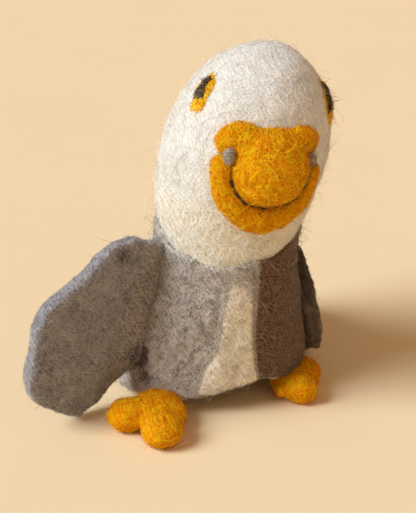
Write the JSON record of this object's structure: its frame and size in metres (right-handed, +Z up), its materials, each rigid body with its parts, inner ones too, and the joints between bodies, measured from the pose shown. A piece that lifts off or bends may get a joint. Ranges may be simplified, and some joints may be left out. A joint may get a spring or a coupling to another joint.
{
  "type": "sock puppet",
  "caption": "Felted wool seagull finger puppet: hollow body and head for one finger, with nodding head, flapping wings, bending feet, beak and eyes.",
  "frame": {"origin": "on the axis of the finger hole, where the flared mouth ends and the straight hole begins, 16 mm above the standing plane", "axes": "+Z up the finger hole towards the crown, -Y the way the bird faces, +X towards the bird's left wing"},
  "size_m": [0.0753, 0.0552, 0.0813],
  "materials": {
    "white_wool": "matte felt",
    "wadding_wool": "matte felt",
    "sleeve_wool": "matte felt",
    "beak_wool": "matte felt",
    "dark_thread": "spun thread",
    "nostril_wool": "matte felt",
    "eye_wool": "matte felt",
    "pupil_wool": "matte felt",
    "grey_wool": "matte felt",
    "breast_wool": "matte felt",
    "wing_wool": "matte felt",
    "foot_wool": "matte felt"
  },
  "bodies": {
    "torso": {"body_coat": "grey_wool", "breast_panel": "breast_wool", "finger_sleeve": "sleeve_wool"},
    "head": {"head_skin": "white_wool", "head_wadding": "wadding_wool", "finger_sleeve_tip": "sleeve_wool", "upper_beak": "beak_wool", "lower_beak": "beak_wool", "mouth_stitch": "dark_thread", "right_nostril": "nostril_wool", "left_nostril": "nostril_wool", "right_eye_patch": "eye_wool", "left_eye_patch": "eye_wool", "right_pupil": "pupil_wool", "left_pupil": "pupil_wool"},
    "right_wing": {"right_wing": "wing_wool"},
    "left_wing": {"left_wing": "wing_wool"},
    "right_foot": {"right_foot": "foot_wool"},
    "left_foot": {"left_foot": "foot_wool"}
  },
  "joints": [
    {"name": "head_nod", "type": "hinge", "parent": "torso", "child": "head", "pos_m": [0.001, 0, 0.0245], "axis": [1, 0, 0], "range_deg": [-10, 25]},
    {"name": "right_wing_flap", "type": "hinge", "parent": "torso", "child": "right_wing", "pos_m": [-0.023, -0.0045, -0.0065], "axis": [0.2159, 0.0415, 0.9755], "range_deg": [-90, 20]},
    {"name": "left_wing_flap", "type": "hinge", "parent": "torso", "child": "left_wing", "pos_m": [0.0245, -0.001, -0.0095], "axis": [-0.1921, 0, 0.9814], "range_deg": [-120, 0]},
    {"name": "right_foot_bend", "type": "hinge", "parent": "torso", "child": "right_foot", "pos_m": [-0.0158, -0.0113, -0.0146], "axis": [-0.8192, 0.5736, 0], "range_deg": [-10, 15]},
    {"name": "left_foot_bend", "type": "hinge", "parent": "torso", "child": "left_foot", "pos_m": [0.0144, -0.0096, -0.0146], "axis": [-0.5299, -0.848, 0], "range_deg": [-10, 15]}
  ]
}
